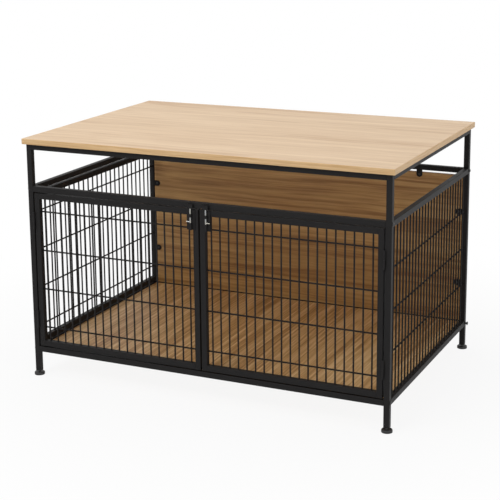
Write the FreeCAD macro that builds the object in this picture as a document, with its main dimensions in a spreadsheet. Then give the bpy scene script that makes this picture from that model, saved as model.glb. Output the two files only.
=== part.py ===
import FreeCAD, Part
import Sketcher
import os
import re
from FreeCAD import Placement, Rotation, Vector

# A pet crate that doubles as a side table: a square tube frame on levelling feet, two mesh doors in front,
# mesh sides, a wooden back and floor, and a wooden table top above an open shelf space.
# Frame: origin on the floor under the middle, +X right, +Y back, +Z up. The doors face -Y. Millimetres.

document = FreeCAD.newDocument("PetCrate")

sizes = [
    # whole crate
    ("overall_width", 1100),
    ("overall_depth", 740),
    ("overall_height", 700),
    # table top
    ("board_thickness", 16),
    ("board_overhang", 9),
    ("board_edge_radius", 1.5),
    # frame tubes
    ("tube_size", 16),
    ("tube_wall", 1.2),
    ("tube_corner_radius", 1.5),
    ("leg_clearance", 72),
    ("shelf_opening", 105),
    # mesh
    ("bar_diameter", 4.5),
    ("door_bar_count", 19),
    ("door_bar_margin", 15),
    ("door_cross_count", 4),
    ("door_cross_margin", 38.5),
    ("side_bar_count", 25),
    ("side_bar_margin", 27),
    ("left_cross_count", 4),
    ("left_cross_margin", 39.5),
    ("right_cross_count", 3),
    ("right_cross_margin", 116.5),
    # left mesh panel, which has an upper and a lower bar of its own
    ("panel_bar_size", 16),
    ("panel_bar_wall", 1.2),
    ("panel_bar_corner_radius", 1.5),
    ("panel_gap_above", 5.5),
    ("panel_gap_below", 4),
    # doors
    ("door_gap", 3.5),
    ("hinge_gap", 4),
    ("meeting_gap", 4),
    # weld-on barrel hinges
    ("hinge_length", 50),
    ("hinge_inset", 55),
    ("hinge_diameter", 6),
    ("hinge_offset", 3.5),
    ("hinge_seam", 0.4),
    ("hinge_pad_thickness", 2),
    ("hinge_pad_depth", 9),
    ("hinge_cap", 4),
    ("pin_diameter", 3.5),
    ("running_clearance", 0.05),
    # slide bolts that lock the doors to the middle rail
    ("latch_inset", 21),
    ("latch_plate_width", 24),
    ("latch_plate_height", 56),
    ("latch_plate_thickness", 2),
    ("latch_rod_diameter", 5),
    ("latch_rod_gap", 0.3),
    ("latch_rod_recess", 2),
    ("latch_guide_wall", 1.5),
    ("latch_guide_height", 9),
    ("latch_lower_guide_height", 19),
    ("latch_guide_drop", 12),
    ("latch_slide_clearance", 0.1),
    ("latch_rest_gap", 1.5),
    ("latch_travel", 10),
    ("latch_handle_diameter", 3.2),
    ("latch_handle_length", 12),
    ("latch_handle_play", 1),
    ("keeper_height", 11),
    ("keeper_lift", 1),
    ("keeper_width", 16),
    ("keeper_clearance", 0.5),
    # bolts through the posts into the front and rear rails
    ("bolt_diameter", 6),
    ("bolt_clearance", 0.25),
    ("bolt_grip", 10),
    ("bolt_head_diameter", 11),
    ("bolt_head_rim", 1.5),
    ("bolt_head_crown", 1.5),
    ("bolt_head_top_diameter", 7),
    ("bolt_socket_width", 4),
    ("bolt_socket_depth", 2),
    ("loose_bolt_standoff", 5),
    ("nut_length", 12),
    ("fit_clearance", 0.1),
    # table top screws
    ("top_screw_spacing", 400),
    ("top_screw_diameter", 4),
    ("top_screw_clearance", 0.2),
    ("top_screw_bite", 10),
    ("top_screw_head_diameter", 8),
    ("top_screw_head_height", 2.5),
    # floor panel
    ("floor_thickness", 10),
    ("floor_drop", 1),
    ("floor_clearance", 2),
    ("floor_edge_radius", 0.8),
    ("floor_tab_reach", 18),
    ("floor_tab_width", 25),
    ("floor_tab_thickness", 2),
    ("floor_tab_spacing_long", 350),
    ("floor_tab_spacing_short", 200),
    # back panel
    ("back_thickness", 12),
    ("back_gap_above", 7),
    ("back_gap_below", 1),
    ("back_gap_side", 2),
    ("back_edge_radius", 0.8),
    ("ear_thickness", 2),
    ("ear_width", 18),
    ("ear_reach", 13),
    ("ear_drop", 118),
    ("ear_rise", 121),
    ("ear_offset", 389),
    ("back_screw_diameter", 3.5),
    ("back_screw_clearance", 0.2),
    ("back_screw_bite", 8),
    ("back_screw_head_diameter", 7),
    ("back_screw_head_height", 2),
    # levelling feet
    ("foot_diameter", 30),
    ("foot_height", 8),
    ("foot_edge_radius", 3),
    ("foot_gap", 4),
    ("stud_diameter", 6),
    ("stud_reach", 18),
    ("stud_root", 2),
    ("plug_length", 22),
]

sheet = document.addObject("Spreadsheet::Sheet", "Sizes")
for row, (alias, value) in enumerate(sizes, 1):
    sheet.set("A%d" % row, alias)
    sheet.set("B%d" % row, str(value))
    sheet.setAlias("B%d" % row, alias)
document.recompute()
aliases = {alias for alias, value in sizes}


def formula(text):
    return re.sub(r"[a-z_]+", lambda word: "Sizes." + word[0] if word[0] in aliases else word[0], text)


def count_of(alias):
    return int(sheet.get(alias))


# Places that several pieces share, as formulas of the sizes.
half_x = "(overall_width / 2 - board_overhang)"
half_y = "(overall_depth / 2 - board_overhang)"
inner_x = f"({half_x} - tube_size)"
inner_y = f"({half_y} - tube_size)"
centre_x = f"({half_x} - tube_size / 2)"
centre_y = f"({half_y} - tube_size / 2)"
frame_top = "(overall_height - board_thickness)"
top_rail = f"({frame_top} - tube_size)"
middle_rail = f"({top_rail} - shelf_opening - tube_size)"
bottom_rail = "leg_clearance"
bottom_rail_top = "(leg_clearance + tube_size)"
post_end = "(foot_height + foot_gap)"
tube_bore = "(tube_size - 2 * tube_wall)"

# Helpers that make one piece of geometry and tie it to the sizes.
turns = {
    "x": Rotation(Vector(0, 1, 0), 90),
    "y": Rotation(Vector(1, 0, 0), -90),
    "z": Rotation(),
}
kept = []


def bind(item, formulas):
    for name, text in formulas.items():
        item.setExpression(name, formula(text))


def place(item, at, axis="z"):
    item.Placement = Placement(Vector(), turns[axis])
    bind(item, {"Placement.Base." + name: text for name, text in zip("xyz", at)})


def keep(item, label):
    item.Label = label
    kept.append(item)
    return item


def block(size, corner):
    item = document.addObject("Part::Box", "Block")
    bind(item, dict(zip(("Length", "Width", "Height"), size)))
    place(item, corner)
    return item


def rod(diameter, length, at, axis="z"):
    item = document.addObject("Part::Cylinder", "Rod")
    bind(item, {"Radius": f"{diameter} / 2", "Height": length})
    place(item, at, axis)
    return item


def taper(base_diameter, tip_diameter, length, at, axis="z"):
    item = document.addObject("Part::Cone", "Taper")
    bind(item, {"Radius1": f"{base_diameter} / 2", "Radius2": f"{tip_diameter} / 2", "Height": length})
    place(item, at, axis)
    return item


def join(pieces):
    item = document.addObject("Part::MultiFuse", "Join")
    item.Shapes = pieces
    return item


def group(pieces):
    item = document.addObject("Part::Compound", "Group")
    item.Links = pieces
    return item


def drill(base, holes):
    item = document.addObject("Part::Cut", "Drilled")
    item.Base = base
    item.Tool = group(holes)
    return item


def rectangle(sketch, name, width, height):
    first = sketch.GeometryCount
    reach = 1 + first
    corners = [Vector(x * reach, y * reach, 0) for x, y in ((-1, -1), (1, -1), (1, 1), (-1, 1))]
    for number in range(4):
        sketch.addGeometry(Part.LineSegment(corners[number], corners[(number + 1) % 4]), False)
    limits = [Sketcher.Constraint("Coincident", first + side, 2, first + (side + 1) % 4, 1) for side in range(4)]
    limits += [Sketcher.Constraint("Horizontal", first + side) for side in (0, 2)]
    limits += [Sketcher.Constraint("Vertical", first + side) for side in (1, 3)]
    limits.append(Sketcher.Constraint("Symmetric", first, 1, first + 1, 2, -1, 1))
    limits.append(Sketcher.Constraint("DistanceX", first, 1, first, 2, 2 * reach))
    limits.append(Sketcher.Constraint("DistanceY", first + 1, 1, first + 1, 2, 2 * reach))
    numbers = sketch.addConstraint(limits)
    for number, measure, text in ((numbers[-2], "width", width), (numbers[-1], "height", height)):
        sketch.renameConstraint(number, name + "_" + measure)
        bind(sketch, {"Constraints." + name + "_" + measure: text})


def circle(sketch, name, diameter):
    number = sketch.addGeometry(Part.Circle(Vector(), Vector(0, 0, 1), 1), False)
    sketch.addConstraint(Sketcher.Constraint("Coincident", number, 3, -1, 1))
    limit = sketch.addConstraint(Sketcher.Constraint("Diameter", number, 2))
    sketch.renameConstraint(limit, name)
    bind(sketch, {"Constraints." + name: diameter})


def section(body):
    sketch = body.newObject("Sketcher::SketchObject", "Section")
    plane = [item for item in body.Origin.OriginFeatures if item.Role == "XY_Plane"][0]
    sketch.AttachmentSupport = [(plane, "")]
    sketch.MapMode = "FlatFace"
    return sketch


def padded(body, sketch, length):
    pad = body.newObject("PartDesign::Pad", "Length")
    pad.Profile = sketch
    bind(pad, {"Length": length})
    document.recompute()
    return pad


def rounded(body, pad, edges, radius):
    fillet = body.newObject("PartDesign::Fillet", "Rounding")
    fillet.Base = (pad, edges)
    bind(fillet, {"Radius": radius})
    body.Tip = fillet


def distance_from_axis(edge):
    return Vector(edge.CenterOfMass.x, edge.CenterOfMass.y, 0).Length


def tube(length, at, axis, size="tube_size", wall="tube_wall", radius="tube_corner_radius"):
    body = document.addObject("PartDesign::Body", "Tube")
    sketch = section(body)
    rectangle(sketch, "outer", size, size)
    rectangle(sketch, "bore", f"({size} - 2 * {wall})", f"({size} - 2 * {wall})")
    pad = padded(body, sketch, length)
    along = [edge for edge in enumerate(pad.Shape.Edges, 1) if abs(edge[1].tangentAt(0).z) > 0.5]
    outer = sorted(along, key=lambda edge: distance_from_axis(edge[1]))[-4:]
    rounded(body, pad, ["Edge%d" % number for number, edge in outer], radius)
    place(body, at, axis)
    return body


def board(width, height, thickness, radius, at, axis):
    body = document.addObject("PartDesign::Body", "Board")
    sketch = section(body)
    rectangle(sketch, "face", width, height)
    pad = padded(body, sketch, thickness)
    rounded(body, pad, ["Edge%d" % number for number in range(1, len(pad.Shape.Edges) + 1)], radius)
    place(body, at, axis)
    return body


def disc(diameter, height, radius, at):
    body = document.addObject("PartDesign::Body", "Disc")
    sketch = section(body)
    circle(sketch, "rim", diameter)
    pad = padded(body, sketch, height)
    top = max(enumerate(pad.Shape.Edges, 1), key=lambda edge: edge[1].CenterOfMass.z)
    rounded(body, pad, ["Edge%d" % top[0]], radius)
    place(body, at)
    return body


# Table top and the screws that hold it to the front and rear top rails, with their heads inside the rails.
top_screw_places = [
    (f"{step} * top_screw_spacing", f"{face} * {centre_y}") for face in (-1, 1) for step in (-1, 0, 1)
]


def top_screw(x, y):
    under_wall = f"({frame_top} - tube_wall)"
    shank = rod("top_screw_diameter", "tube_wall + top_screw_bite", (x, y, under_wall))
    head_low = f"{under_wall} - top_screw_head_height"
    head = rod("top_screw_head_diameter", "top_screw_head_height", (x, y, head_low))
    return join([shank, head])


plank = board(
    "overall_width", "overall_depth", "board_thickness", "board_edge_radius", ("0", "0", frame_top), "z"
)
pilot_holes = [rod("top_screw_diameter", "top_screw_bite", (x, y, frame_top)) for x, y in top_screw_places]
keep(drill(plank, pilot_holes), "table_top")
keep(group([top_screw(x, y) for x, y in top_screw_places]), "table_top_screws")

# Posts: drilled in X at the middle and bottom rails for the frame bolts.
sides = {"left": -1, "right": 1}
faces = {"front": -1, "rear": 1}
rail_heights = {"top": top_rail, "middle": middle_rail, "bottom": bottom_rail}
bolted_heights = [f"({rail_heights[level]} + tube_size / 2)" for level in ("middle", "bottom")]

for face, toward in faces.items():
    for side, outward in sides.items():
        x = f"{outward} * {centre_x}"
        y = f"{toward} * {centre_y}"
        post = tube(f"{frame_top} - {post_end}", (x, y, post_end), "z")
        hole_start = f"{x} - tube_size"
        hole = "bolt_diameter + 2 * bolt_clearance"
        holes = [rod(f"({hole})", "2 * tube_size", (hole_start, y, height), "x") for height in bolted_heights]
        keep(drill(post, holes), f"{face}_{side}_post")

# Rails between the posts. The front and rear top rails are drilled for the table top screws.
for level, low in rail_heights.items():
    middle = f"({low} + tube_size / 2)"
    for face, toward in faces.items():
        y = f"{toward} * {centre_y}"
        rail = tube(f"2 * {inner_x}", (f"-{inner_x}", y, middle), "x")
        if level == "top":
            hole = "(top_screw_diameter + 2 * top_screw_clearance)"
            spots = [f"{step} * top_screw_spacing" for step in (-1, 0, 1)]
            above = f"({low} + tube_wall)"
            eyes = [rod(hole, "tube_size - tube_wall", (x, y, above)) for x in spots]
            wide = "(top_screw_head_diameter + 2 * top_screw_clearance)"
            eyes += [rod(wide, "tube_wall", (x, y, low)) for x in spots]
            rail = drill(rail, eyes)
        keep(rail, f"{face}_{level}_rail")
    for side, outward in sides.items():
        rail = tube(f"2 * {inner_y}", (f"{outward} * {centre_x}", f"-{inner_y}", middle), "y")
        keep(rail, f"{side}_{level}_rail")


# Frame bolts with a socket head, and the square nuts in the rail ends that they screw into.
def frame_bolt(outward, toward, height, standoff):
    y = f"{toward} * {centre_y}"
    length = f"tube_size + bolt_grip + {standoff}"
    tip = f"{half_x} + {standoff} - ({length})"
    rim = f"{half_x} + {standoff}"
    crown = f"{rim} + bolt_head_rim"
    socket = f"{crown} + bolt_head_crown - bolt_socket_depth"
    spans = [("bolt_diameter", "bolt_diameter", tip, length)]
    spans.append(("bolt_head_diameter", "bolt_head_diameter", rim, "bolt_head_rim"))
    spans.append(("bolt_head_diameter", "bolt_head_top_diameter", crown, "bolt_head_crown"))
    pieces = []
    for inner, outer, start, run in spans:
        wide, narrow, low = (inner, outer, start) if outward > 0 else (outer, inner, f"-({start} + {run})")
        piece = rod(wide, run, (low, y, height), "x") if inner == outer else None
        pieces.append(piece or taper(wide, narrow, run, (low, y, height), "x"))
    hexagon = document.addObject("Part::Prism", "Socket")
    bind(hexagon, {"Circumradius": "bolt_socket_width / sqrt(3)", "Height": "bolt_socket_depth"})
    place(hexagon, (socket if outward > 0 else f"-({socket} + bolt_socket_depth)", y, height), "x")
    return drill(join(pieces), [hexagon])


def rail_nut(outward, toward, height):
    y = f"{toward} * {centre_y}"
    side = f"({tube_bore} - 2 * fit_clearance)"
    low = f"{inner_x} - nut_length" if outward > 0 else f"-{inner_x}"
    body = block(("nut_length", side, side), (low, f"{y} - {side} / 2", f"{height} - {side} / 2"))
    return drill(body, [rod("bolt_diameter", "nut_length", (low, y, height), "x")])


corners = [(outward, toward) for outward in sides.values() for toward in faces.values()]
bolts = []
nuts = []
for outward, toward in corners:
    for height in bolted_heights:
        loose = (outward, toward, height) == (1, 1, bolted_heights[-1])
        bolts.append(frame_bolt(outward, toward, height, "loose_bolt_standoff" if loose else "0"))
        nuts.append(rail_nut(outward, toward, height))
keep(group(bolts), "frame_bolts")
keep(group(nuts), "rail_end_nuts")


# Mesh: upright bars between two rails, with cross wires welded to their inner side.
def spread(count, first, last):
    pitch = f"(({last}) - ({first})) / {count - 1}"
    return [f"({first}) + {number} * {pitch}" for number in range(count)]


def side_mesh(side, outward, low, high):
    x = f"{outward} * {centre_x}"
    behind = f"{outward} * ({centre_x} - bar_diameter)"
    reach = f"({inner_y} - side_bar_margin)"
    rows = spread(count_of("side_bar_count"), f"-{reach}", reach)
    bars = [rod("bar_diameter", f"{high} - {low}", (x, y, low)) for y in rows]
    keep(group(bars), f"{side}_mesh_bars")
    margin = f"{side}_cross_margin"
    heights = spread(count_of(f"{side}_cross_count"), f"{low} + {margin}", f"{high} - {margin}")
    wires = [rod("bar_diameter", f"2 * {inner_y}", (behind, f"-{inner_y}", z), "y") for z in heights]
    keep(group(wires), f"{side}_mesh_cross_wires")


# The right mesh is welded to the frame's own rails.
side_mesh("right", 1, bottom_rail_top, middle_rail)

# The left mesh is a panel with its own upper and lower bar, welded between the left posts.
lower_bar = f"({bottom_rail_top} + panel_gap_below)"
upper_bar = f"({middle_rail} - panel_gap_above - panel_bar_size)"
panel_bar_style = {"size": "panel_bar_size", "wall": "panel_bar_wall", "radius": "panel_bar_corner_radius"}
for name, low in (("lower", lower_bar), ("upper", upper_bar)):
    at = (f"-{centre_x}", f"-{inner_y}", f"{low} + panel_bar_size / 2")
    keep(tube(f"2 * {inner_y}", at, "y", **panel_bar_style), f"left_mesh_{name}_bar")
side_mesh("left", -1, f"({lower_bar} + panel_bar_size)", upper_bar)

# Floor panel on tabs welded to the inside of the bottom rails.
floor_top = f"({bottom_rail_top} - floor_drop)"
floor_low = f"({floor_top} - floor_thickness)"
floor_width = f"2 * ({inner_x} - floor_clearance)"
floor_depth = f"2 * ({inner_y} - floor_clearance)"
floor = board(floor_width, floor_depth, "floor_thickness", "floor_edge_radius", ("0", "0", floor_low), "z")
keep(floor, "floor_panel")

tabs = []
tab_low = f"{floor_low} - floor_tab_thickness"
for step in (-1, 1):
    along_x = f"{step} * floor_tab_spacing_long - floor_tab_width / 2"
    along_y = f"{step} * floor_tab_spacing_short - floor_tab_width / 2"
    for near in (f"-{inner_y}", f"{inner_y} - floor_tab_reach"):
        tabs.append(block(("floor_tab_width", "floor_tab_reach", "floor_tab_thickness"), (along_x, near, tab_low)))
    for near in (f"-{inner_x}", f"{inner_x} - floor_tab_reach"):
        tabs.append(block(("floor_tab_reach", "floor_tab_width", "floor_tab_thickness"), (near, along_y, tab_low)))
keep(group(tabs), "floor_tabs")

# Back panel behind rounded ears on the rear posts and the rear middle rail, with one screw in each ear.
ear_front = inner_y
back_front = f"({inner_y} + ear_thickness)"
back_low = f"({bottom_rail_top} + back_gap_below)"
back_high = f"({middle_rail} - back_gap_above)"
ear_eyes = []
ears = []
ear_hole = "(back_screw_diameter + 2 * back_screw_clearance)"


def ear(box_size, box_corner, eye_x, eye_z):
    plate = block(box_size, box_corner)
    tip = rod("ear_width", "ear_thickness", (eye_x, ear_front, eye_z), "y")
    hole = rod(ear_hole, "ear_thickness", (eye_x, ear_front, eye_z), "y")
    ears.append(drill(join([plate, tip]), [hole]))
    ear_eyes.append((eye_x, eye_z))


for side, outward in sides.items():
    eye_x = f"{outward} * ({inner_x} - ear_reach)"
    post_face = f"-{inner_x}" if outward < 0 else f"({inner_x} - ear_reach)"
    for eye_z in (f"({middle_rail} - ear_drop)", f"({bottom_rail_top} + ear_rise)"):
        corner = (post_face, ear_front, f"{eye_z} - ear_width / 2")
        ear(("ear_reach", "ear_thickness", "ear_width"), corner, eye_x, eye_z)
    hung_x = f"{outward} * ear_offset"
    eye_z = f"{middle_rail} - ear_reach"
    corner = (f"{hung_x} - ear_width / 2", ear_front, eye_z)
    ear(("ear_width", "ear_thickness", "ear_reach"), corner, hung_x, eye_z)
keep(group(ears), "back_panel_ears")


def back_screw(x, z):
    head_front = f"{ear_front} - back_screw_head_height"
    head = rod("back_screw_head_diameter", "back_screw_head_height", (x, head_front, z), "y")
    shank = rod("back_screw_diameter", "ear_thickness + back_screw_bite", (x, ear_front, z), "y")
    return join([head, shank])


keep(group([back_screw(x, z) for x, z in ear_eyes]), "back_panel_screws")
back = board(
    f"2 * ({inner_x} - back_gap_side)", f"{back_high} - {back_low}", "back_thickness", "back_edge_radius",
    ("0", back_front, f"({back_low} + {back_high}) / 2"), "y",
)
back_holes = [rod("back_screw_diameter", "back_screw_bite", (x, back_front, z), "y") for x, z in ear_eyes]
keep(drill(back, back_holes), "back_panel")

# Doors: each a tube frame with capped stiles and mesh, hinged on its post, with a slide bolt at its upper free corner.
door_low = f"({bottom_rail_top} + door_gap)"
door_high = f"({middle_rail} - door_gap)"
door_hinge_edge = f"({inner_x} - hinge_gap)"
door_free_edge = "(meeting_gap / 2)"
door_width = f"({door_hinge_edge} - {door_free_edge})"
door_y = f"-{centre_y}"
front = f"(-{half_y})"


def door_frame(side, outward):
    height = f"{door_high} - {door_low}"
    stiles = {"hinge": f"{door_hinge_edge} - tube_size / 2", "latch": f"{door_free_edge} + tube_size / 2"}
    for name, x in stiles.items():
        x = f"{outward} * ({x})"
        cap_corner = (f"{x} - {tube_bore} / 2", f"{door_y} - {tube_bore} / 2")
        pieces = [tube(height, (x, door_y, door_low), "z")]
        for low in (door_low, f"{door_high} - tube_wall"):
            pieces.append(block((tube_bore, tube_bore, "tube_wall"), (*cap_corner, low)))
        keep(group(pieces), f"{side}_door_{name}_stile")
    edges = (f"({door_free_edge} + tube_size)", f"({door_hinge_edge} - tube_size)")
    start = edges[0] if outward > 0 else f"-{edges[1]}"
    for name, z in (("lower", door_low), ("upper", f"({door_high} - tube_size)")):
        at = (start, door_y, f"{z} + tube_size / 2")
        keep(tube(f"{door_width} - 2 * tube_size", at, "x"), f"{side}_door_{name}_rail")
    return start, edges


def door_mesh(side, outward, start, edges):
    low = f"({door_low} + tube_size)"
    high = f"({door_high} - tube_size)"
    first = f"{outward} * ({edges[0]} + door_bar_margin)"
    last = f"{outward} * ({edges[1]} - door_bar_margin)"
    columns = spread(count_of("door_bar_count"), first, last)
    bars = [rod("bar_diameter", f"{high} - {low}", (x, door_y, low)) for x in columns]
    keep(group(bars), f"{side}_door_bars")
    behind = f"{door_y} + bar_diameter"
    heights = spread(count_of("door_cross_count"), f"{low} + door_cross_margin", f"{high} - door_cross_margin")
    wires = [rod("bar_diameter", f"{edges[1]} - {edges[0]}", (start, behind, z), "x") for z in heights]
    keep(group(wires), f"{side}_door_cross_wires")


# Barrel hinges: the lower half is welded to the post and holds the pin, the upper half to the door.
hinge_x = f"({inner_x} - hinge_gap / 2)"
hinge_y = f"({front} - hinge_offset)"
hinge_lows = [f"({door_low} + hinge_inset)", f"({door_high} - hinge_inset - hinge_length)"]
half_barrel = "(hinge_length / 2 - hinge_seam / 2)"
lower_barrels = []
pins = []


def barrel(outward, low, pad_edge, bore_diameter, bore_low, bore_length):
    x = f"{outward} * {hinge_x}"
    turned = rod("hinge_diameter", half_barrel, (x, hinge_y, low))
    pad = block(("hinge_pad_thickness", "hinge_pad_depth", half_barrel), (pad_edge, hinge_y, low))
    return drill(join([turned, pad]), [rod(bore_diameter, bore_length, (x, hinge_y, bore_low))])


def door_hinges(side, outward):
    upper_barrels = []
    post_pad = f"({inner_x} - hinge_pad_thickness)" if outward > 0 else f"-{inner_x}"
    door_pad = door_hinge_edge if outward > 0 else f"-({door_hinge_edge} + hinge_pad_thickness)"
    for low in hinge_lows:
        pin_low = f"({low} + hinge_cap)"
        pin_length = "(hinge_length - 2 * hinge_cap)"
        upper_low = f"({low} + {half_barrel} + hinge_seam)"
        lower_bore = f"{half_barrel} - hinge_cap"
        lower_barrels.append(barrel(outward, low, post_pad, "pin_diameter", pin_low, lower_bore))
        bore = "(pin_diameter + 2 * running_clearance)"
        bore_length = f"{half_barrel} - hinge_cap + hinge_seam"
        upper_barrels.append(barrel(outward, upper_low, door_pad, bore, upper_low, bore_length))
        pins.append(rod("pin_diameter", pin_length, (f"{outward} * {hinge_x}", hinge_y, pin_low)))
    keep(group(upper_barrels), f"{side}_door_hinge_barrels")


# Slide bolts: a plate with two guides on the door, a rod with a side handle, and a keeper on the middle rail.
latch_x = f"({door_free_edge} + latch_inset)"
latch_y = f"({front} - latch_plate_thickness - latch_rod_gap - latch_rod_diameter / 2)"
guide_width = "(latch_rod_diameter + 2 * latch_guide_wall)"
guide_depth = "(latch_rod_gap + latch_rod_diameter + latch_guide_wall)"
guide_front = f"({front} - latch_plate_thickness - {guide_depth})"
plate_low = f"({door_high} - latch_plate_height)"
upper_guide = f"({door_high} - latch_guide_drop - latch_guide_height)"
keeper_low = f"({middle_rail} + keeper_lift)"
rod_tip = f"({keeper_low} - latch_rest_gap)"
handle_z = f"({upper_guide} - latch_handle_play - latch_travel - latch_handle_diameter / 2)"
keepers = []


def door_latch(side, outward):
    x = f"{outward} * {latch_x}"
    plate_size = ("latch_plate_width", "latch_plate_thickness", "latch_plate_height")
    plate_corner = (f"{x} - latch_plate_width / 2", f"{front} - latch_plate_thickness", plate_low)
    pieces = [block(plate_size, plate_corner)]
    for low, height in ((plate_low, "latch_lower_guide_height"), (upper_guide, "latch_guide_height")):
        size = (guide_width, guide_depth, height)
        pieces.append(block(size, (f"{x} - {guide_width} / 2", guide_front, low)))
    bore = "(latch_rod_diameter + 2 * latch_slide_clearance)"
    keep(drill(join(pieces), [rod(bore, "latch_plate_height", (x, latch_y, plate_low))]), f"{side}_latch_housing")

    rod_low = f"({plate_low} + latch_rod_recess)"
    stem = rod("latch_rod_diameter", f"{rod_tip} - {rod_low}", (x, latch_y, rod_low))
    handle_start = x if outward > 0 else f"{x} - latch_handle_length"
    handle = rod("latch_handle_diameter", "latch_handle_length", (handle_start, latch_y, handle_z), "x")
    keep(join([stem, handle]), f"{side}_latch_bolt")

    depth = f"(latch_plate_thickness + {guide_depth})"
    body = block(("keeper_width", depth, "keeper_height"), (f"{x} - keeper_width / 2", guide_front, keeper_low))
    hole = "(latch_rod_diameter + 2 * keeper_clearance)"
    keepers.append(drill(body, [rod(hole, "keeper_height", (x, latch_y, keeper_low))]))


for side, outward in sides.items():
    start, edges = door_frame(side, outward)
    door_mesh(side, outward, start, edges)
    door_hinges(side, outward)
    door_latch(side, outward)
keep(group(lower_barrels), "post_hinge_barrels")
keep(group(pins), "hinge_pins")
keep(group(keepers), "latch_keepers")


# Levelling feet: a round pad on a threaded stud, turned into a plug in the end of each post.
def levelling_foot(x, y):
    pad = disc("foot_diameter", "foot_height", "foot_edge_radius", (x, y, "0"))
    stud = rod("stud_diameter", f"{post_end} + stud_reach - stud_root", (x, y, "stud_root"))
    return join([pad, stud])


plugs = []
for face, toward in faces.items():
    for side, outward in sides.items():
        x = f"{outward} * {centre_x}"
        y = f"{toward} * {centre_y}"
        keep(levelling_foot(x, y), f"{face}_{side}_foot")
        width = f"({tube_bore} - 2 * fit_clearance)"
        plug = block((width, width, "plug_length"), (f"{x} - {width} / 2", f"{y} - {width} / 2", post_end))
        bore = "(stud_diameter + 2 * running_clearance)"
        plugs.append(drill(plug, [rod(bore, "plug_length", (x, y, post_end))]))
keep(group(plugs), "leg_plugs")

# Every piece is checked before any of them is written.
document.recompute()
for item in document.Objects:
    if "Invalid" in item.State or "Error" in item.State:
        raise RuntimeError(f"{item.Label} failed: {item.State}")
for item in kept:
    if item.Shape.isNull() or not item.Shape.isValid() or item.Shape.Volume <= 0:
        raise RuntimeError(f"{item.Label} has no valid shape")

os.makedirs("parts", exist_ok=True)
for item in kept:
    item.Shape.exportStep(f"parts/{item.Label}.step")
    print(f"{item.Label}: {len(item.Shape.Solids)} solids, {item.Shape.Volume / 1000:.2f} cm3")
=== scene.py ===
import math
import bmesh
import bpy
from mathutils import Matrix, Vector


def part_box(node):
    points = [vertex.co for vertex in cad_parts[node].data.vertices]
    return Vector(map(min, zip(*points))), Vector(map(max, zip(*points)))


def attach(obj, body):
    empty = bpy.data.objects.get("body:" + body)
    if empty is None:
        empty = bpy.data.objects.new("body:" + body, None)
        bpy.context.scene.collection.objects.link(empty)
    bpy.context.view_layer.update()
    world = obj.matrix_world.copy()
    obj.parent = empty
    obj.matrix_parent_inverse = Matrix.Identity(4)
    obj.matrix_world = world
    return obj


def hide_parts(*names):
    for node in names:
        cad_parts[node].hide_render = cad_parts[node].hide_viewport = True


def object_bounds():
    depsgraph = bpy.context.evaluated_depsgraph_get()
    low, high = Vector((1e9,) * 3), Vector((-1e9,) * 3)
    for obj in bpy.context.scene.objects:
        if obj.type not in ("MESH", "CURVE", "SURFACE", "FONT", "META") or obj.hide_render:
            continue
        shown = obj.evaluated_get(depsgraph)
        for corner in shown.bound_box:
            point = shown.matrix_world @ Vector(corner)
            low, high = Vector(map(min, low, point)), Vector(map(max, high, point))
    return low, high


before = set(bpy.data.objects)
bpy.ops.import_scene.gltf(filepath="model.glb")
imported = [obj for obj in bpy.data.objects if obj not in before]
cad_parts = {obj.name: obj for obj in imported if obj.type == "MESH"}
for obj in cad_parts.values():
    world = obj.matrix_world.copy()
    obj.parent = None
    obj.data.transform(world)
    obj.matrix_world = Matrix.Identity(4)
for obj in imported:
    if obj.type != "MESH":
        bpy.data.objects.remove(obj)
cadBox = [[float(value) for value in corner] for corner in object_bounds()]
scene = bpy.context.scene
scene.view_settings.view_transform = "Standard"
print("stage 1: frame loaded,", len(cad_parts), "nodes")


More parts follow.
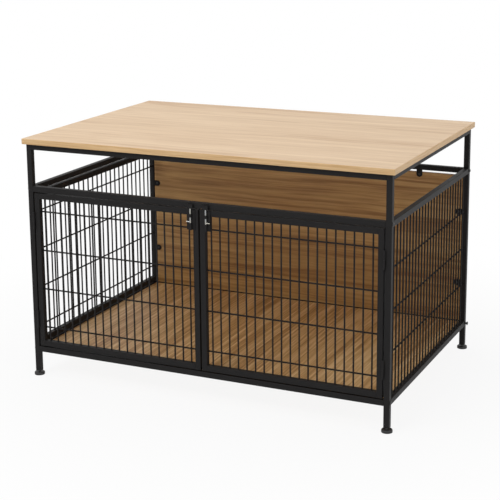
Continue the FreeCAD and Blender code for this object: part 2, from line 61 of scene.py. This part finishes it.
# One socket of a node tree. Sums on it add Math nodes, and make() adds any other node.
class Field:
    def __init__(self, tree, socket=None):
        self.tree = tree
        self.socket = socket

    def make(self, kind, settings=None, values=None, output=0):
        node = self.tree.nodes.new(kind)
        for name, value in (settings or {}).items():
            if name == "stops":
                self.setStops(node.color_ramp, value)
            else:
                setattr(node, name, value)
        for name, value in (values or {}).items():
            if isinstance(value, Field):
                self.tree.links.new(value.socket, node.inputs[name])
            else:
                node.inputs[name].default_value = value
        return Field(self.tree, node.outputs[output] if len(node.outputs) else None)

    def setStops(self, ramp, stops):
        while len(ramp.elements) < len(stops):
            ramp.elements.new(1)
        for element, (position, colour) in zip(ramp.elements, stops):
            element.position = position
            element.color = colour

    def other(self, output):
        return Field(self.tree, self.socket.node.outputs[output])

    def maths(self, operation, first, second=0.0):
        return self.make("ShaderNodeMath", {"operation": operation}, {0: first, 1: second})

    def __add__(self, value):
        return self.maths("ADD", self, value)

    def __radd__(self, value):
        return self.maths("ADD", value, self)

    def __sub__(self, value):
        return self.maths("SUBTRACT", self, value)

    def __rsub__(self, value):
        return self.maths("SUBTRACT", value, self)

    def __mul__(self, value):
        return self.maths("MULTIPLY", self, value)

    def __rmul__(self, value):
        return self.maths("MULTIPLY", value, self)

    def __gt__(self, value):
        return self.maths("GREATER_THAN", self, value)

    def __abs__(self):
        return self.maths("ABSOLUTE", self)

    def most(self, value):
        return self.maths("MAXIMUM", self, value)

    def ease(self, low, high):  # 0 below low, 1 above high, smooth between
        settings = {"interpolation_type": "SMOOTHSTEP"}
        return self.make("ShaderNodeMapRange", settings, {"Value": self, "From Min": low, "From Max": high})

    def stretched(self, amounts):
        return self.make("ShaderNodeVectorMath", {"operation": "MULTIPLY"}, {0: self, 1: amounts})

    def shifted(self, amounts):
        return self.make("ShaderNodeVectorMath", {"operation": "ADD"}, {0: self, 1: amounts})

    def noise(self, scale, detail=2.0, roughness=0.5, output="Fac"):
        values = {"Vector": self, "Scale": scale, "Detail": detail, "Roughness": roughness}
        return self.make("ShaderNodeTexNoise", {}, values, output)

    def mixed(self, colour, share):
        return self.make("ShaderNodeMix", {"data_type": "RGBA"}, {0: share, 6: self, 7: colour}, 2)

    def ramp(self, *stops):
        return self.make("ShaderNodeValToRGB", {"stops": stops}, {0: self}, "Color")

    def bump(self, strength, depth):
        return self.make("ShaderNodeBump", {}, {"Strength": strength, "Distance": depth, "Height": self})

    def axis(self, name):
        return self.make("ShaderNodeSeparateXYZ", {}, {0: self}, name)


def tone(red, green, blue):  # a screen colour, 0 to 255, as the linear colour that sockets take
    def linear(value):
        share = value / 255
        return share / 12.92 if share <= 0.04045 else ((share + 0.055) / 1.055) ** 2.4
    return (linear(red), linear(green), linear(blue), 1.0)


def startFinish(name):
    finish = bpy.data.materials.new(name)
    finish.use_nodes = True
    finish.node_tree.nodes.clear()
    return finish, Field(finish.node_tree).make("ShaderNodeTexCoord", {}, {}, "Object")


def endFinish(spot, sockets):
    shader = spot.make("ShaderNodeBsdfPrincipled", {}, sockets)
    spot.make("ShaderNodeOutputMaterial", {}, {"Surface": shader})


# Oak decor on the boards: broad streaks, growth lines that follow them, thin lines, fibres and short
# dark pores.
# The top's copy of the oak decor: its dark tone is the decor's own colour, while its middle and pale tones
# are lifted and greyed towards white, a painted sheen that stands in for the top's reflection of the lamps
# and makes it a paler copy than the back and floor boards.
paintedSheenOakTop = {
    "along": 0,  # the axis the grain follows
    "start": (0.0, 0.0, 0.0),  # where in its decor sheet the board is cut
    "streakScale": (1.25, 16.0),  # along and across the grain, per metre
    "lineScale": (2.4, 66.0),
    "fibreScale": (12.0, 330.0),
    "growthLines": 5.0,
    "streakShare": 0.44,
    "wander": 0.05,  # how far the grain bends, in metres
    "dark": tone(194, 158, 118),
    "middle": tone(213, 182, 145),
    "pale": tone(223, 194, 158),
    "contrast": 0.13,
    "roughness": 0.44,
    "poreDepth": 0.00012,
}
oakBack = {
    "along": 0,
    "start": (1.89, 0.0, 1.41),
    "streakScale": (0.9, 24.0),
    "lineScale": (1.8, 120.0),
    "fibreScale": (11.0, 340.0),
    "growthLines": 6.0,
    "streakShare": 0.36,
    "wander": 0.018,
    "dark": tone(153, 108, 60),
    "middle": tone(193, 150, 92),
    "pale": tone(214, 174, 116),
    "contrast": 0.115,
    "roughness": 0.46,
    "poreDepth": 0.00012,
}
oakFloor = {
    "along": 1,
    "start": (2.55, 1.95, 0.0),
    "streakScale": (1.1, 30.0),
    "lineScale": (2.4, 170.0),
    "fibreScale": (11.0, 340.0),
    "growthLines": 6.0,
    "streakShare": 0.30,
    "wander": 0.018,
    "dark": tone(162, 116, 66),
    "middle": tone(206, 163, 108),
    "pale": tone(238, 203, 151),
    "contrast": 0.11,
    "roughness": 0.46,
    "poreDepth": 0.00012,
}
oakGrain = {  # what the three boards share
    "wanderScale": 2.4,
    "lineShare": 0.8,  # streaks and lines together
    "fibreShare": 0.14,
    "growthShare": 0.06,
    "poreStretch": (3.0, 3.2),  # a pore's scale against a fibre's, along and across the grain
    "poreEdges": (0.62, 0.76),
    "poreShade": 0.4,
    "bumpStrength": 0.5,
    "unevenGloss": 0.12,
}
edgeBand = {  # thin band glued round the table top
    "thickness": 0.001,
    "glueEdges": (-0.0002, 0.0001),  # from the band's inner face
    "glueShade": 0.6,
    "grainScale": (9.0, 12.0, 300.0),
    "dark": tone(206, 164, 112),
    "pale": tone(234, 198, 148),
    "glueLine": tone(150, 112, 72),
}


def grainNoise(spot, oak, scales, detail, roughness):
    stretch = [scales[1]] * 3
    stretch[oak["along"]] = scales[0]
    return spot.stretched(stretch).noise(1.0, detail, roughness)


def bandOver(colour, spot, band):
    inner = [value - band["thickness"] for value in cadBox[1]]
    out = (abs(spot.axis("X")) - inner[0]).most(abs(spot.axis("Y")) - inner[1])
    glue = (out > band["glueEdges"][0]) * (1 - (out > band["glueEdges"][1]))
    grain = spot.stretched(band["grainScale"]).noise(1.0, 3.0, 0.6)
    colour = colour.mixed(grain.ramp((0.3, band["dark"]), (0.7, band["pale"])), out > 0.0)
    return colour.mixed(band["glueLine"], glue * band["glueShade"])


def oakFinish(name, oak, shared, band=None):
    finish, spot = startFinish(name)
    sheet = spot.shifted(oak["start"])
    wander = sheet.stretched([shared["wanderScale"]] * 3).noise(1.0, 2.0, 0.5, "Color")
    bent = sheet.shifted(wander.shifted((-0.5, -0.5, -0.5)).stretched([oak["wander"]] * 3))
    streaks = grainNoise(bent, oak, oak["streakScale"], 5.0, 0.58)
    turns = streaks * (2 * math.pi * oak["growthLines"])
    growth = turns.maths("SINE", turns) * 0.5 + 0.5
    lines = grainNoise(bent, oak, oak["lineScale"], 3.0, 0.6)
    fibres = grainNoise(bent, oak, oak["fibreScale"], 3.0, 0.6)
    poreScale = [scale * stretch for scale, stretch in zip(oak["fibreScale"], shared["poreStretch"])]
    pores = grainNoise(sheet, oak, poreScale, 2.0, 0.5).ease(*shared["poreEdges"])
    broad = oak["streakShare"]
    grain = streaks * broad + lines * (shared["lineShare"] - broad)
    grain = grain + fibres * shared["fibreShare"] + growth * shared["growthShare"]
    low, high = 0.5 - oak["contrast"], 0.5 + oak["contrast"]
    colour = grain.ramp((low, oak["dark"]), (0.5, oak["middle"]), (high, oak["pale"]))
    colour = colour.mixed(oak["dark"], pores * shared["poreShade"])
    if band:
        colour = bandOver(colour, spot, band)
    normal = (fibres * 0.4 - pores).bump(shared["bumpStrength"], oak["poreDepth"])
    rough = oak["roughness"] + (fibres - 0.5 + pores) * shared["unevenGloss"]
    endFinish(spot, {"Base Color": colour, "Roughness": rough, "Normal": normal})
    return finish


# Satin powder coat: nearly black, with a fine orange peel.
powderCoat = {
    "colour": tone(36, 35, 35),
    "thin": tone(46, 45, 45),
    "roughness": 0.48,
    "peelScale": 900.0,
    "peelDepth": 0.00006,
    "cloudScale": 24.0,
    "specular": 0.08,
}


def powderFinish(name, coat):
    finish, spot = startFinish(name)
    peel = spot.noise(coat["peelScale"], 2.0, 0.5)
    cloud = spot.noise(coat["cloudScale"], 3.0, 0.6)
    colour = (peel * 0.7 + cloud * 0.3).ramp((0.35, coat["colour"]), (0.75, coat["thin"]))
    rough = coat["roughness"] + (cloud - 0.5) * 0.14 + (peel - 0.5) * 0.08
    endFinish(spot, {"Base Color": colour, "Roughness": rough, "Normal": peel.bump(0.6, coat["peelDepth"]),
                     "Specular IOR Level": coat["specular"]})
    return finish


# Bright zinc plate with faint drawing lines and a bluish to straw-coloured cast.
zincPlate = {
    "cool": tone(152, 155, 159),
    "warm": tone(170, 164, 148),
    "roughness": 0.26,
    "cloudScale": 140.0,
    "drawnScale": 2600.0,
    "drawnDepth": 0.00003,
}


def zincFinish(name, zinc):
    finish, spot = startFinish(name)
    cloud = spot.noise(zinc["cloudScale"], 3.0, 0.6)
    drawn = spot.stretched((1.0, 1.0, 0.08)).noise(zinc["drawnScale"], 2.0, 0.5)
    colour = cloud.ramp((0.35, zinc["cool"]), (0.7, zinc["warm"]))
    rough = zinc["roughness"] + (cloud - 0.5) * 0.16 + (drawn - 0.5) * 0.1
    normal = drawn.bump(0.3, zinc["drawnDepth"])
    endFinish(spot, {"Base Color": colour, "Metallic": 1.0, "Roughness": rough, "Normal": normal})
    return finish


# Blackened screws: dark oxide that lets a little steel through.
blackScrew = {
    "oxide": tone(26, 26, 27),
    "steel": tone(66, 65, 64),
    "roughness": 0.36,
    "rubScale": 420.0,
    "rubDepth": 0.00005,
}


def screwFinish(name, screw):
    finish, spot = startFinish(name)
    rub = spot.noise(screw["rubScale"], 4.0, 0.65)
    colour = rub.ramp((0.5, screw["oxide"]), (0.78, screw["steel"]))
    rough = screw["roughness"] + (rub - 0.5) * 0.3
    bare = rub.ease(0.55, 0.85) * 0.6
    endFinish(spot, {"Base Color": colour, "Roughness": rough, "Metallic": bare,
                     "Normal": rub.bump(0.3, screw["rubDepth"])})
    return finish


# Moulded plastic with a fine spark-eroded grain. The feet's studs, above the pads, are zinc plated.
mouldGrain = {"grainScale": 1500.0, "grainDepth": 0.00005, "cloudScale": 90.0, "specular": 0.45}
footPlastic = {
    "colour": tone(27, 27, 28),
    "scuff": tone(52, 51, 50),
    "roughness": 0.5,
    "studFrom": 0.0081,
}
plugPlastic = {
    "colour": tone(30, 30, 31),
    "scuff": tone(48, 47, 46),
    "roughness": 0.55,
    "studFrom": None,
}


def plasticFinish(name, plastic, mould, zinc):
    finish, spot = startFinish(name)
    grain = spot.noise(mould["grainScale"], 2.0, 0.6)
    cloud = spot.noise(mould["cloudScale"], 4.0, 0.6)
    colour = cloud.ramp((0.45, plastic["colour"]), (0.85, plastic["scuff"]))
    rough = plastic["roughness"] + (cloud - 0.5) * 0.2
    sockets = {"Specular IOR Level": mould["specular"]}
    if plastic["studFrom"]:
        stud = spot.axis("Z") > plastic["studFrom"]
        colour = colour.mixed(zinc["cool"], stud)
        rough = rough - stud * 0.2
        sockets["Metallic"] = stud
    normal = grain.bump(0.4, mould["grainDepth"])
    endFinish(spot, {"Base Color": colour, "Roughness": rough, "Normal": normal, **sockets})
    return finish


finishes = {
    "oak_top": oakFinish("paintedSheenOakTopDecor", paintedSheenOakTop, oakGrain, edgeBand),
    "oak_floor": oakFinish("oakFloorDecor", oakFloor, oakGrain),
    "oak_back": oakFinish("oakBackDecor", oakBack, oakGrain),
    "powder_coat": powderFinish("satinPowderCoat", powderCoat),
    "zinc_plate": zincFinish("brightZincPlate", zincPlate),
    "black_screw": screwFinish("blackenedScrew", blackScrew),
    "foot_plastic": plasticFinish("mouldedFoot", footPlastic, mouldGrain, zincPlate),
    "plug_plastic": plasticFinish("mouldedPlug", plugPlastic, mouldGrain, zincPlate),
}
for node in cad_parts.values():
    for place in node.material_slots:
        place.material = finishes[place.material.name]
print("stage 2: finishes on every node,", len(finishes), "kinds")


# What the welder leaves: a bead at every crossing of the mesh and in the inner corners of the tubes, and
# a small collar round every wire's end.
meshPanels = {  # run: the axis along the panel
    "left_door": {"columns": 19, "rows": 4, "run": 0},
    "right_door": {"columns": 19, "rows": 4, "run": 0},
    "left_mesh": {"columns": 25, "rows": 4, "run": 1},
    "right_mesh": {"columns": 25, "rows": 3, "run": 1},
}
weldMarks = {
    "crossingRadius": 0.0020,
    "cornerRadius": 0.0012,
    "cornerPitch": 0.0011,
    "cornerInset": 0.0015,
    "collarFoot": 0.0035,
    "collarTop": 0.00225,
    "collarHeight": 0.0014,
    "unevenness": 0.12,
    "seed": 7,
}
upward = (0.0, 0.0, 1.0)
downward = (0.0, 0.0, -1.0)


def spread(low, high, count):
    return [low + (high - low) * step / (count - 1) for step in range(count)]


def panelWelds(name, panel):
    bars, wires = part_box(f"{name}_bars"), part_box(f"{name}_cross_wires")
    run = panel["run"]
    depth = 1 - run
    radius = (bars[1][depth] - bars[0][depth]) / 2
    columns = spread(bars[0][run] + radius, bars[1][run] - radius, panel["columns"])
    rows = spread(wires[0][2] + radius, wires[1][2] - radius, panel["rows"])
    barDepth = (bars[0][depth] + bars[1][depth]) / 2
    wireDepth = (wires[0][depth] + wires[1][depth]) / 2
    sideways = (1.0, 0.0, 0.0) if run == 0 else (0.0, 1.0, 0.0)
    through = (sideways[1], sideways[0], 0.0)

    def spotAt(along, deep, height):
        return (along, deep, height) if run == 0 else (deep, along, height)

    beads = [(spotAt(x, (barDepth + wireDepth) / 2, z), through) for x in columns for z in rows]
    collars = [(spotAt(x, barDepth, bars[0][2]), upward) for x in columns]
    collars += [(spotAt(x, barDepth, bars[1][2]), downward) for x in columns]
    collars += [(spotAt(wires[0][run], wireDepth, z), sideways) for z in rows]
    collars += [(spotAt(wires[1][run], wireDepth, z), [-value for value in sideways]) for z in rows]
    return beads, collars


def cornerWelds(node, run, faces, values):
    low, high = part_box(node)
    across = 1 - run
    first, last = low[across] + values["cornerInset"], high[across] - values["cornerInset"]
    count = int((last - first) / values["cornerPitch"])
    places = []
    for end in (low[run], high[run]):
        for face in faces:
            for step in spread(first, last, count):
                place = [0.0, 0.0, (low, high)[face][2]]
                place[run] = end
                place[across] = step
                places.append((tuple(place), upward))
    return places


def startTree(name, inputs):
    tree = bpy.data.node_groups.new(name, "GeometryNodeTree")
    tree.interface.new_socket("Geometry", in_out="INPUT", socket_type="NodeSocketGeometry")
    keys = {}
    for label, kind in inputs.items():
        keys[label] = tree.interface.new_socket(label, in_out="INPUT", socket_type=kind).identifier
    tree.interface.new_socket("Geometry", in_out="OUTPUT", socket_type="NodeSocketGeometry")
    return tree, keys, Field(tree).make("NodeGroupInput")


def endTree(shapes, start, smooth=True):
    whole = shapes.make("GeometryNodeRealizeInstances", {}, {"Geometry": shapes})
    shaded = whole.make("GeometryNodeSetShadeSmooth", {}, {"Geometry": whole, "Shade Smooth": smooth})
    dressed = shaded.make("GeometryNodeSetMaterial", {}, {
        "Geometry": shaded, "Material": start.other("Material")})
    dressed.make("NodeGroupOutput", {}, {0: dressed})


def named(start, label, kind):
    return start.make("GeometryNodeInputNamedAttribute", {"data_type": kind}, {"Name": label})


def weldTree():
    tree, keys, start = startTree("weldMarks", {
        "Collar Foot": "NodeSocketFloat",
        "Collar Top": "NodeSocketFloat",
        "Collar Height": "NodeSocketFloat",
        "Unevenness": "NodeSocketFloat",
        "Seed": "NodeSocketInt",
        "Material": "NodeSocketMaterial",
    })
    lean = named(start, "lean", "FLOAT_VECTOR")
    turn = start.make("FunctionNodeAlignRotationToVector", {"axis": "Z"}, {"Vector": lean})
    collarMark = named(start, "isCollar", "BOOLEAN")
    beadMark = start.make("FunctionNodeBooleanMath", {"operation": "NOT"}, {0: collarMark})
    most = start.other("Unevenness") + 1.0
    uneven = start.make("FunctionNodeRandomValue", {"data_type": "FLOAT"}, {
        "Min": 2.0 - most, "Max": most, "Seed": start.other("Seed")}, 1)
    bead = start.make("GeometryNodeMeshUVSphere", {}, {"Segments": 8, "Rings": 5, "Radius": 1.0})
    collar = start.make("GeometryNodeMeshCone", {}, {
        "Vertices": 12,
        "Radius Top": start.other("Collar Top"),
        "Radius Bottom": start.other("Collar Foot"),
        "Depth": start.other("Collar Height"),
    })
    beads = start.make("GeometryNodeInstanceOnPoints", {}, {
        "Points": start, "Selection": beadMark, "Instance": bead, "Rotation": turn,
        "Scale": uneven * named(start, "girth", "FLOAT")})
    collars = start.make("GeometryNodeInstanceOnPoints", {}, {
        "Points": start, "Selection": collarMark, "Instance": collar, "Rotation": turn, "Scale": uneven})
    both = start.make("GeometryNodeJoinGeometry", {}, {"Geometry": beads})
    tree.links.new(collars.socket, both.socket.node.inputs[0])
    endTree(both, start)
    return tree, keys


def growPiece(name, places, grower, inputs, body):
    tree, keys = grower
    mesh = bpy.data.meshes.new(name + "Places")
    mesh.from_pydata([place["at"] for place in places], [], [])
    lean = mesh.attributes.new("lean", "FLOAT_VECTOR", "POINT")
    lean.data.foreach_set("vector", [value for place in places for value in place["lean"]])
    girth = mesh.attributes.new("girth", "FLOAT", "POINT")
    girth.data.foreach_set("value", [place.get("girth", 1.0) for place in places])
    isCollar = mesh.attributes.new("isCollar", "BOOLEAN", "POINT")
    isCollar.data.foreach_set("value", [place.get("isCollar", False) for place in places])
    source = bpy.data.objects.new(name + "Source", mesh)
    scene.collection.objects.link(source)
    growth = source.modifiers.new("growth", "NODES")
    growth.node_group = tree
    for label, value in inputs.items():
        growth[keys[label]] = value
    graph = bpy.context.evaluated_depsgraph_get()
    grown = bpy.data.meshes.new_from_object(source.evaluated_get(graph), depsgraph=graph)
    grown.name = name
    source.modifiers.remove(growth)
    bpy.data.objects.remove(source)
    piece = bpy.data.objects.new(name, grown)
    scene.collection.objects.link(piece)
    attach(piece, body)
    return piece


def weldPlaces(panelNames, corners, values):
    places = []
    for name in panelNames:
        beads, collars = panelWelds(name, meshPanels[name])
        places += [{"at": at, "lean": lean, "girth": values["crossingRadius"]} for at, lean in beads]
        places += [{"at": at, "lean": lean, "isCollar": True} for at, lean in collars]
    for node, run, faces in corners:
        beads = cornerWelds(node, run, faces, values)
        places += [{"at": at, "lean": lean, "girth": values["cornerRadius"]} for at, lean in beads]
    return places


frameCorners = []  # node, the axis it runs along, and its lower (0) and upper (1) faces that are welded
for side in ("left", "right"):
    frameCorners.append((f"{side}_top_rail", 1, (0,)))
for side in ("left", "right"):
    for level in ("middle", "bottom"):
        frameCorners.append((f"{side}_{level}_rail", 1, (0, 1)))
for level in ("lower", "upper"):
    frameCorners.append((f"left_mesh_{level}_bar", 1, (0, 1)))
weldGrower = weldTree()
weldInputs = {
    "Collar Foot": weldMarks["collarFoot"],
    "Collar Top": weldMarks["collarTop"],
    "Collar Height": weldMarks["collarHeight"],
    "Unevenness": weldMarks["unevenness"],
    "Seed": weldMarks["seed"],
    "Material": finishes["powder_coat"],
}
framePlaces = weldPlaces(("left_mesh", "right_mesh"), frameCorners, weldMarks)
growPiece("frame_weld_marks", framePlaces, weldGrower, weldInputs, "crate_frame")
for door in ("left_door", "right_door"):
    corners = [(f"{door}_lower_rail", 0, (1,)), (f"{door}_upper_rail", 0, (0,))]
    doorPlaces = weldPlaces((door,), corners, weldMarks)
    growPiece(f"{door}_weld_marks", doorPlaces, weldGrower, weldInputs, door)
print("stage 3: weld marks on the mesh and the tubes")


# Domed screws with a cross recess, one in each ear of the back panel.
panelScrew = {
    "profile": (  # radius and height, from the crown to the tip
        (0, 0.0020), (0.0012, 0.00195), (0.0024, 0.00165), (0.0032, 0.0011), (0.0035, 0.0005),
        (0.0035, 0.0), (0.00175, 0.0), (0.00175, -0.0085), (0, -0.0100)),
    "sides": 20,
    "recessLength": 0.0044,
    "recessWidth": 0.0009,
    "recessDepth": 0.0012,
    "seed": 3,
}


def makeObject(name, work):
    mesh = bpy.data.meshes.new(name)
    work.to_mesh(mesh)
    work.free()
    made = bpy.data.objects.new(name, mesh)
    scene.collection.objects.link(made)
    return made


def turnScrew(values):
    work = bmesh.new()
    points = [work.verts.new((radius, 0, height)) for radius, height in values["profile"]]
    edges = [work.edges.new(pair) for pair in zip(points, points[1:])]
    bmesh.ops.spin(work, geom=points + edges, cent=(0, 0, 0), axis=(0, 0, 1), angle=2 * math.pi,
                   steps=values["sides"], use_merge=True)
    bmesh.ops.remove_doubles(work, verts=work.verts, dist=0.00001)
    bmesh.ops.recalc_face_normals(work, faces=work.faces)
    return makeObject("screwBlank", work)


def cutRecess(values):
    work = bmesh.new()
    crown = values["profile"][0][1]
    length, width, depth = values["recessLength"], values["recessWidth"], values["recessDepth"]
    size = Matrix.Diagonal((length, width, 2 * depth, 1))
    for turn in (0, math.pi / 2):
        place = Matrix.Translation((0, 0, crown)) @ Matrix.Rotation(turn, 4, "Z") @ size
        bmesh.ops.create_cube(work, size=1, matrix=place)
    return makeObject("screwRecess", work)


def makeScrew(values):
    blank, recess = turnScrew(values), cutRecess(values)
    cut = blank.modifiers.new("recess", "BOOLEAN")
    cut.operation = "DIFFERENCE"
    cut.solver = "EXACT"
    cut.use_self = True
    cut.object = recess
    graph = bpy.context.evaluated_depsgraph_get()
    mesh = bpy.data.meshes.new_from_object(blank.evaluated_get(graph), depsgraph=graph)
    blank.modifiers.remove(cut)
    blank.data = mesh
    bpy.data.objects.remove(recess)
    return blank


def screwTree():
    tree, keys, start = startTree("panelScrews", {
        "Screw": "NodeSocketObject", "Seed": "NodeSocketInt", "Material": "NodeSocketMaterial"})
    screw = start.make("GeometryNodeObjectInfo", {}, {"Object": start.other("Screw")}, "Geometry")
    lean = named(start, "lean", "FLOAT_VECTOR")
    aim = start.make("FunctionNodeAlignRotationToVector", {"axis": "Z"}, {"Vector": lean})
    spin = start.make("FunctionNodeRandomValue", {"data_type": "FLOAT"}, {
        "Min": 0.0, "Max": math.pi, "Seed": start.other("Seed")}, 1)
    twist = start.make("FunctionNodeAxisAngleToRotation", {}, {"Axis": upward, "Angle": spin})
    turn = start.make("FunctionNodeRotateRotation", {"rotation_space": "LOCAL"}, {
        "Rotation": aim, "Rotate By": twist})
    screws = start.make("GeometryNodeInstanceOnPoints", {}, {
        "Points": start, "Instance": screw, "Rotation": turn})
    endTree(screws, start, False)
    return tree, keys


def screwPlaces(node, depth):  # the middle of each separate screw of the node
    work = bmesh.new()
    work.from_mesh(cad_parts[node].data)
    bmesh.ops.remove_doubles(work, verts=work.verts, dist=0.00001)
    places = []
    left = set(work.verts)
    while left:
        group = {left.pop()}
        edge = set(group)
        while edge:
            edge = {link.other_vert(vert) for vert in edge for link in vert.link_edges} - group
            group |= edge
        left -= group
        across = [vert.co.x for vert in group]
        heights = [vert.co.z for vert in group]
        at = ((min(across) + max(across)) / 2, depth, (min(heights) + max(heights)) / 2)
        places.append({"at": at, "lean": (0.0, -1.0, 0.0)})
    work.free()
    return sorted(places, key=lambda place: place["at"])


screwObject = makeScrew(panelScrew)
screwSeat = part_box("back_panel_ears")[0][1]  # the ears' front
screwInputs = {"Screw": screwObject, "Seed": panelScrew["seed"], "Material": finishes["black_screw"]}
screws = growPiece("panel_screws", screwPlaces("back_panel_screws", screwSeat), screwTree(), screwInputs,
                   "crate_frame")
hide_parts("back_panel_screws")
bpy.data.objects.remove(screwObject)

# Threads on the feet's studs, seen between the pads and the posts.
footThread = {
    "pitch": 0.001,
    "from": 0.0082,
    "to": 0.0118,
    "radius": 0.0030,
    "ridge": 0.00035,
}


def threadTree():
    tree, keys, start = startTree("footThread", {
        "Turns": "NodeSocketFloat",
        "Height": "NodeSocketFloat",
        "Radius": "NodeSocketFloat",
        "Ridge": "NodeSocketFloat",
        "Material": "NodeSocketMaterial",
    })
    helix = start.make("GeometryNodeCurveSpiral", {}, {
        "Resolution": 24,
        "Rotations": start.other("Turns"),
        "Start Radius": start.other("Radius"),
        "End Radius": start.other("Radius"),
        "Height": start.other("Height"),
    })
    ridge = start.make("GeometryNodeCurvePrimitiveCircle", {}, {
        "Resolution": 4, "Radius": start.other("Ridge")})
    thread = start.make("GeometryNodeCurveToMesh", {}, {
        "Curve": helix, "Profile Curve": ridge, "Fill Caps": True})
    threads = start.make("GeometryNodeInstanceOnPoints", {}, {"Points": start, "Instance": thread})
    endTree(threads, start)
    return tree, keys


threadGrower = threadTree()
threadInputs = {
    "Turns": (footThread["to"] - footThread["from"]) / footThread["pitch"],
    "Height": footThread["to"] - footThread["from"],
    "Radius": footThread["radius"],
    "Ridge": footThread["ridge"],
    "Material": finishes["zinc_plate"],
}
for foot in ("front_left_foot", "front_right_foot", "rear_left_foot", "rear_right_foot"):
    low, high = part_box(foot)
    axis = {"at": ((low[0] + high[0]) / 2, (low[1] + high[1]) / 2, footThread["from"]), "lean": upward}
    growPiece(f"{foot}_thread", [axis], threadGrower, threadInputs, foot)
print("stage 4: panel screws and foot threads")


# Stage: a white floor that keeps the shadow, white to the camera and in reflections, and soft lamps.
stageSet = {
    "floorHalf": 9.0,
    "floorDrop": 0.0004,
    "floorColour": tone(238, 238, 238),
    "whiteShare": 0.90,  # how much of the floor the camera sees as plain white
    "fadeFrom": 0.55,
    "fadeTo": 1.5,
    "ambient": 0.34,
}
lamps = {  # place, aim, width, height, watts
    "overheadLamp": ((-0.4, 0.1, 3.4), (0, 0, 0.6), 3.0, 2.4, 39.5),
    "rightLamp": ((3.4, -0.9, 1.7), (0, 0, 0.4), 2.2, 2.2, 21.0),
    "frontLamp": ((-1.3, -3.1, 3.5), (0, 0, 0.4), 2.2, 1.4, 66.0),
}


def seenWhite(tree):
    light = Field(tree).make("ShaderNodeLightPath", {}, {}, "Is Camera Ray")
    return light.most(light.other("Is Glossy Ray")).most(light.other("Is Transmission Ray"))


def layFloor(values):
    half = values["floorHalf"]
    mesh = bpy.data.meshes.new("studioFloor")
    corners = [(-half, -half), (half, -half), (half, half), (-half, half)]
    mesh.from_pydata([(x, y, -values["floorDrop"]) for x, y in corners], [], [(0, 1, 2, 3)])
    floor = bpy.data.objects.new("studioFloor", mesh)
    scene.collection.objects.link(floor)
    finish, spot = startFinish("studioFloorWhite")
    away = spot.make("ShaderNodeVectorMath", {"operation": "LENGTH"}, {0: spot}, "Value")
    far = away.ease(values["fadeFrom"], values["fadeTo"])
    share = values["whiteShare"] + far * (1 - values["whiteShare"])
    paint = spot.make("ShaderNodeBsdfDiffuse", {}, {"Color": values["floorColour"]})
    glow = spot.make("ShaderNodeEmission", {}, {"Color": (1, 1, 1, 1), "Strength": 1.0})
    white = seenWhite(finish.node_tree) * share
    surface = spot.make("ShaderNodeMixShader", {}, {0: white, 1: paint, 2: glow})
    spot.make("ShaderNodeOutputMaterial", {}, {"Surface": surface})
    mesh.materials.append(finish)


def hangWorld(values):
    world = bpy.data.worlds.new("studioWorld")
    scene.world = world
    world.use_nodes = True
    world.node_tree.nodes.clear()
    white = seenWhite(world.node_tree)
    soft = white.make("ShaderNodeBackground", {}, {
        "Color": (1, 1, 1, 1), "Strength": values["ambient"]})
    plain = white.make("ShaderNodeBackground", {}, {"Color": (1, 1, 1, 1), "Strength": 1.0})
    both = white.make("ShaderNodeMixShader", {}, {0: white, 1: soft, 2: plain})
    white.make("ShaderNodeOutputWorld", {}, {"Surface": both})


def hangLamp(name, place, aim, width, height, watts):
    light = bpy.data.lights.new(name, "AREA")
    light.shape = "RECTANGLE"
    light.size = width
    light.size_y = height
    light.energy = watts
    lamp = bpy.data.objects.new(name, light)
    lamp.location = place
    lamp.rotation_euler = (Vector(aim) - Vector(place)).to_track_quat("-Z", "Y").to_euler()
    scene.collection.objects.link(lamp)


layFloor(stageSet)
hangWorld(stageSet)
for name, settings in lamps.items():
    hangLamp(name, *settings)

# Camera at the photograph's view.
photoView = {  # angles in degrees, place in metres, lens in millimetres
    "yaw": -24.763,
    "pitch": 12.115,
    "roll": -0.465,
    "place": (1.5716, -3.4391, 1.379),
    "lens": 95.89,
    "shift": (0.0, -0.15),
}


def setCamera(values):
    yaw, pitch, roll = (math.radians(values[name]) for name in ("yaw", "pitch", "roll"))
    ahead = Vector((math.sin(yaw) * math.cos(pitch), math.cos(yaw) * math.cos(pitch), -math.sin(pitch)))
    level = Vector((math.cos(yaw), -math.sin(yaw), 0))
    above = level.cross(ahead)
    right = level * math.cos(roll) + above * math.sin(roll)
    top = above * math.cos(roll) - level * math.sin(roll)
    camera = bpy.data.objects.new("photoCamera", bpy.data.cameras.new("photoCamera"))
    camera.data.lens = values["lens"]
    camera.data.shift_x, camera.data.shift_y = values["shift"]
    turn = Matrix((right, top, -ahead)).transposed()
    camera.matrix_world = Matrix.Translation(values["place"]) @ turn.to_4x4()
    scene.collection.objects.link(camera)
    scene.camera = camera


setCamera(photoView)
print("stage 5: floor, lamps and camera set")
